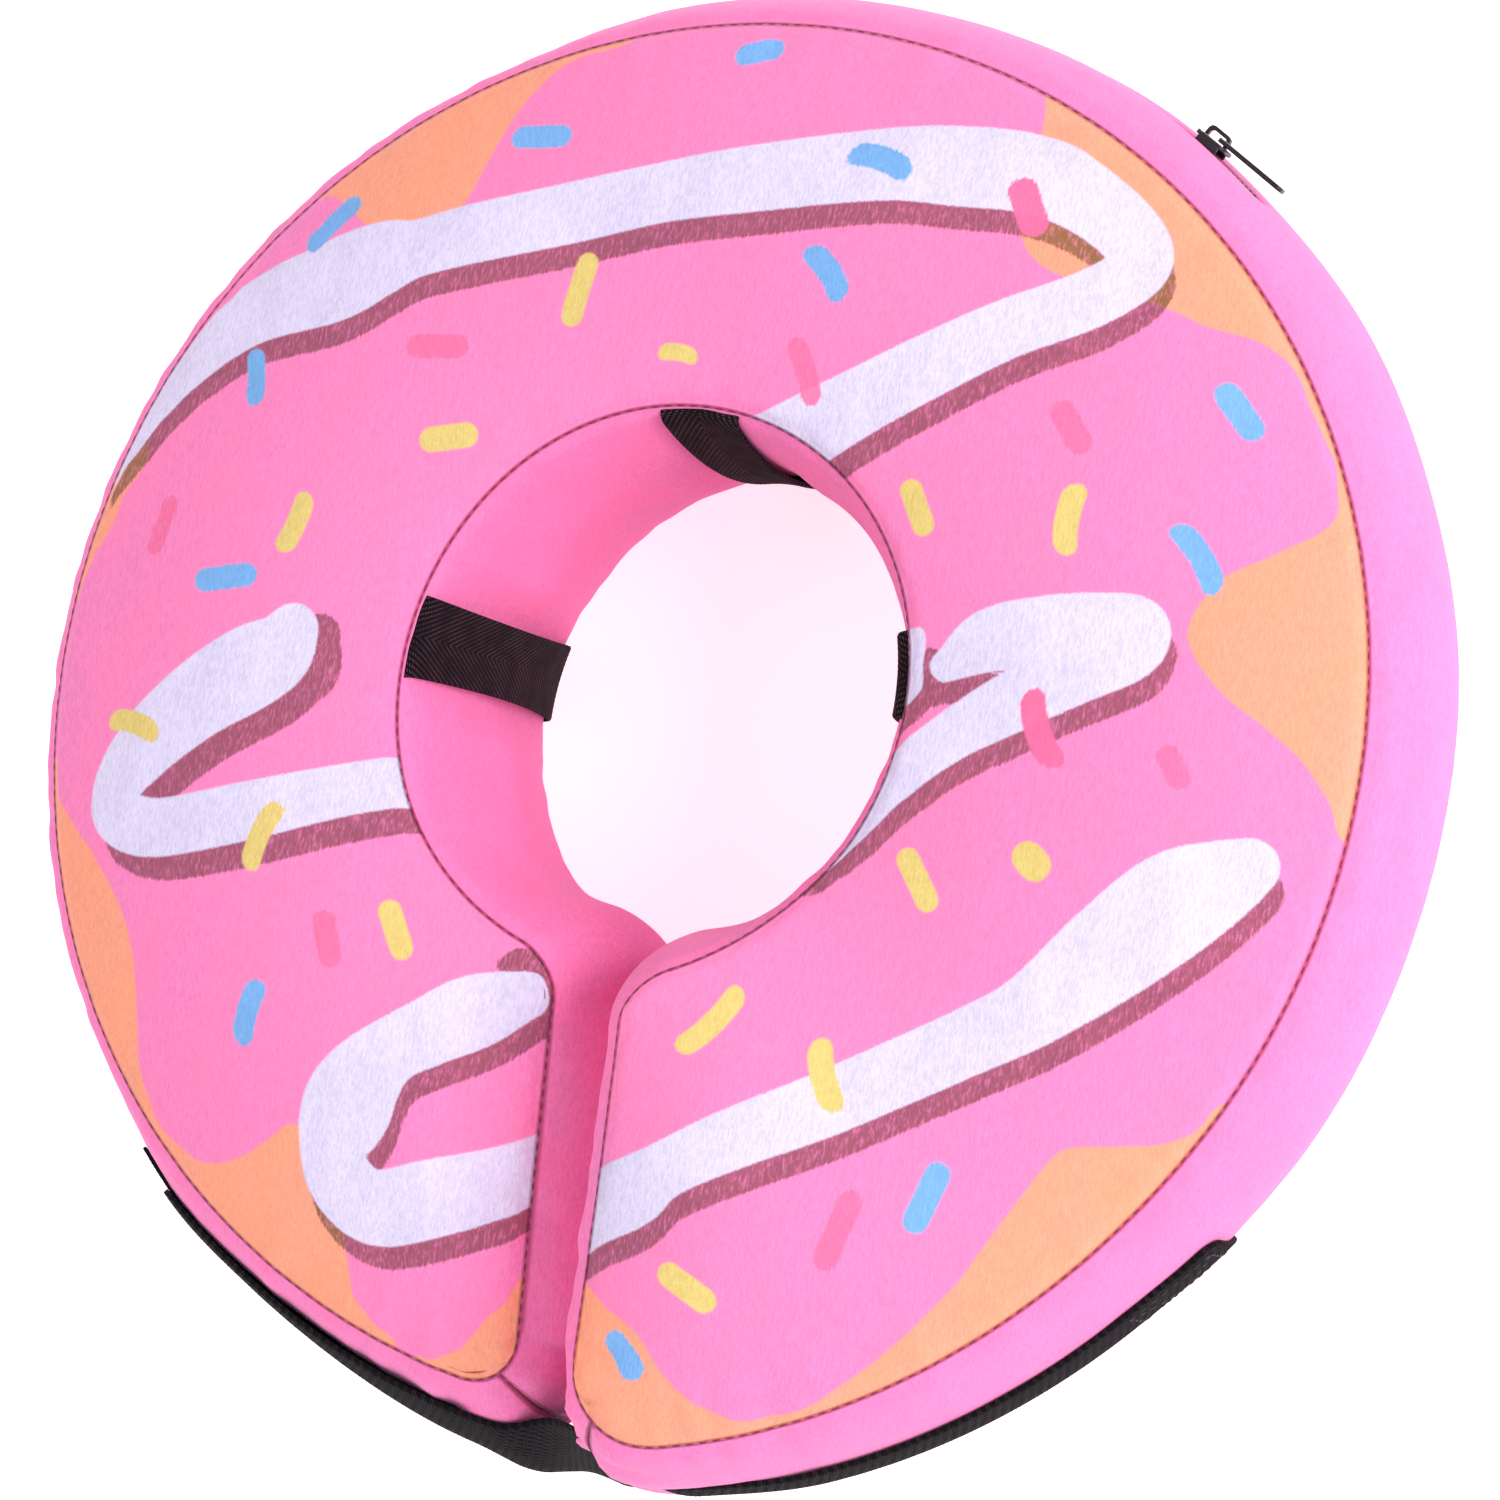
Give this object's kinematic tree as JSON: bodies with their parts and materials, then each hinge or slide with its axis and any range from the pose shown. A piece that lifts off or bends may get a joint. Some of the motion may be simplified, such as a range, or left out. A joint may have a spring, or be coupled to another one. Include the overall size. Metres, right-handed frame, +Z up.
{
  "type": "inflatable recovery collar",
  "caption": "Doughnut-shaped plush collar for a pet's neck, slit across one side and closed by a hook-and-loop strap, with webbing loops on its neck wall and a zip outside.",
  "frame": {"origin": "under the middle of the collar's outline, on the surface that it lies on", "axes": "+Z up through the neck hole towards the printed face, -Y towards the slit"},
  "size_m": [0.3484, 0.3638, 0.116],
  "materials": {
    "printed_plush": "short printed plush",
    "plain_plush": "short plain pink plush",
    "webbing": "black chevron twill tape",
    "hook_tape": "black woven hook tape",
    "loop_tape": "black napped loop tape",
    "zip_tape": "black woven zip tape",
    "zip_coil": "black moulded coil",
    "zip_metal": "black enamel worn bright at its edges"
  },
  "bodies": {
    "cover": {"front_panel": "printed_plush", "back_panel": "plain_plush", "outer_band": "plain_plush", "inner_band": "plain_plush", "closure_strap": "hook_tape", "loop_patch": "loop_tape", "collar_loop_left": "webbing", "collar_loop_back": "webbing", "collar_loop_right": "webbing", "zip_tape": "zip_tape", "zip_coil": "zip_coil", "zip_slider": "zip_metal"},
    "pull": {"zip_pull": "zip_metal"}
  },
  "joints": [
    {"name": "pull_swing", "type": "hinge", "parent": "cover", "child": "pull", "pos_m": [0.09487, 0.15948, 0.05375], "axis": [0, 0, 1], "range_deg": [0, 165]}
  ]
}
